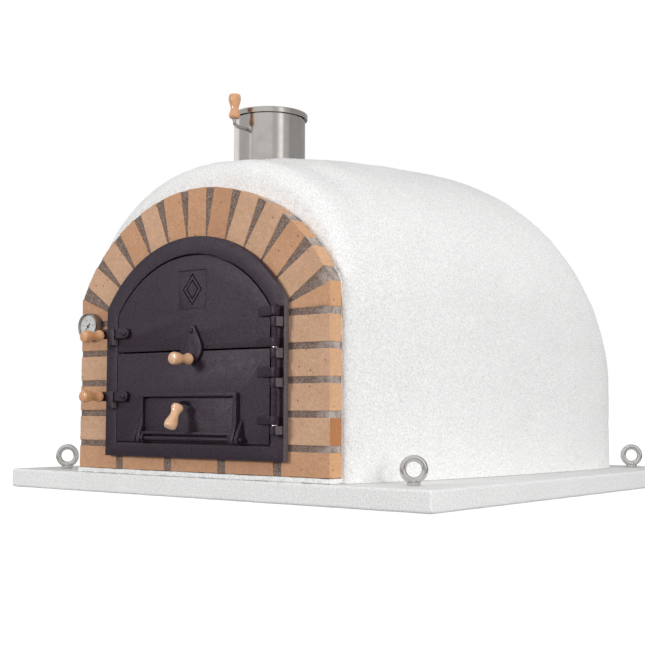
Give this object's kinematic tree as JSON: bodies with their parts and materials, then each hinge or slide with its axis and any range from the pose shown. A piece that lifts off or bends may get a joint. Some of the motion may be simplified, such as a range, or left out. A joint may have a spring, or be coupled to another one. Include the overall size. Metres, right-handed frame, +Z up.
{
  "type": "wood fired pizza oven",
  "caption": "Rendered refractory dome oven on a square slab: brick arch facade, two-leaf cast iron door with latches and draft flap, thermometer, steel flue with damper.",
  "frame": {"origin": "centre of the slab's bottom face", "axes": "+Z up, -Y out of the door towards the cook, +X to the cook's right, where the door's hinges are"},
  "size_m": [1.1, 1.1679, 0.818],
  "materials": {
    "slab": "fine white concrete, smooth cast faces",
    "render": "white mineral render with a fine grey speckle",
    "ceramic_wool": "white ceramic fibre",
    "refractory": "rough buff refractory castable",
    "mortar": "grey-brown sanded mortar, speckled",
    "brick": "peach to orange fired clay, sanded",
    "cast_iron": "dark fine-cast, heat-proof black paint",
    "beech": "pale turned beech, clear varnish",
    "stainless": "bright stainless, fine vertical brushing",
    "lifting_steel": "polished zinc-plated steel",
    "dial": "white dial, fine black scale",
    "pointer": "black pointer",
    "gauge_glass": "clear flat glass"
  },
  "bodies": {
    "oven_body": {"base_slab": "slab", "outer_shell": "render", "insulation_blanket": "ceramic_wool", "inner_vault": "refractory", "floor_insulation": "ceramic_wool", "hearth_floor": "refractory", "facade_mortar": "mortar", "sill_brick_1": "brick", "sill_brick_2": "brick", "sill_brick_3": "brick", "sill_brick_4": "brick", "sill_brick_5": "brick", "left_jamb_brick_1": "brick", "left_jamb_brick_2": "brick", "left_jamb_brick_3": "brick", "left_jamb_brick_4": "brick", "left_jamb_brick_5": "brick", "right_jamb_brick_1": "brick", "right_jamb_brick_2": "brick", "right_jamb_brick_3": "brick", "right_jamb_brick_4": "brick", "right_jamb_brick_5": "brick", "arch_brick_1": "brick", "arch_brick_2": "brick", "arch_brick_3": "brick", "arch_brick_4": "brick", "arch_brick_5": "brick", "arch_brick_6": "brick", "arch_brick_7": "brick", "arch_brick_8": "brick", "arch_brick_9": "brick", "arch_brick_10": "brick", "arch_brick_11": "brick", "door_frame": "cast_iron", "hinge_pin": "cast_iron", "thermometer_case": "stainless", "thermometer_dial": "dial", "thermometer_glass": "gauge_glass", "flue_pipe": "stainless", "eye_bolt_front_left": "lifting_steel", "eye_bolt_front_right": "lifting_steel", "eye_bolt_back_left": "lifting_steel", "eye_bolt_back_right": "lifting_steel"},
    "lower_leaf": {"lower_leaf": "cast_iron", "lower_latch_pin": "cast_iron", "flap_pin": "cast_iron"},
    "upper_leaf": {"upper_leaf": "cast_iron", "upper_latch_pin": "cast_iron", "catch_pin": "cast_iron"},
    "lower_latch": {"lower_latch_lever": "cast_iron", "lower_latch_grip": "beech"},
    "upper_latch": {"upper_latch_lever": "cast_iron", "upper_latch_grip": "beech"},
    "catch": {"catch_plate": "cast_iron", "catch_grip": "beech"},
    "draft_flap": {"draft_flap": "cast_iron", "flap_grip": "beech"},
    "damper": {"damper": "stainless", "damper_grip": "beech"},
    "gauge_pointer": {"thermometer_needle": "pointer"}
  },
  "joints": [
    {"name": "lower_leaf_hinge", "type": "hinge", "parent": "oven_body", "child": "lower_leaf", "pos_m": [0.227, -0.569, 0.195], "axis": [0, 0, 1], "range_deg": [0, 85]},
    {"name": "upper_leaf_hinge", "type": "hinge", "parent": "lower_leaf", "child": "upper_leaf", "pos_m": [0.227, -0.569, 0.322], "axis": [0, 0, 1], "range_deg": [0, 85]},
    {"name": "lower_latch_lift", "type": "hinge", "parent": "lower_leaf", "child": "lower_latch", "pos_m": [-0.177, -0.562, 0.197], "axis": [0, 1, 0], "range_deg": [0, 75]},
    {"name": "upper_latch_lift", "type": "hinge", "parent": "upper_leaf", "child": "upper_latch", "pos_m": [-0.177, -0.562, 0.325], "axis": [0, 1, 0], "range_deg": [0, 75]},
    {"name": "catch_swing", "type": "hinge", "parent": "upper_leaf", "child": "catch", "pos_m": [0.008, -0.56, 0.3235], "axis": [0, 1, 0], "range_deg": [-85, 85]},
    {"name": "draft_flap_tilt", "type": "hinge", "parent": "lower_leaf", "child": "draft_flap", "pos_m": [0, -0.567, 0.115], "axis": [1, 0, 0], "range_deg": [0, 65]},
    {"name": "damper_turn", "type": "hinge", "parent": "oven_body", "child": "damper", "pos_m": [0, -0.3234, 0.752], "axis": [0, 1, 0], "range_deg": [0, 90]},
    {"name": "thermometer_pointer_turn", "type": "hinge", "parent": "oven_body", "child": "gauge_pointer", "pos_m": [-0.297, -0.554, 0.3436], "axis": [0, 1, 0], "range_deg": [0, 270]}
  ]
}
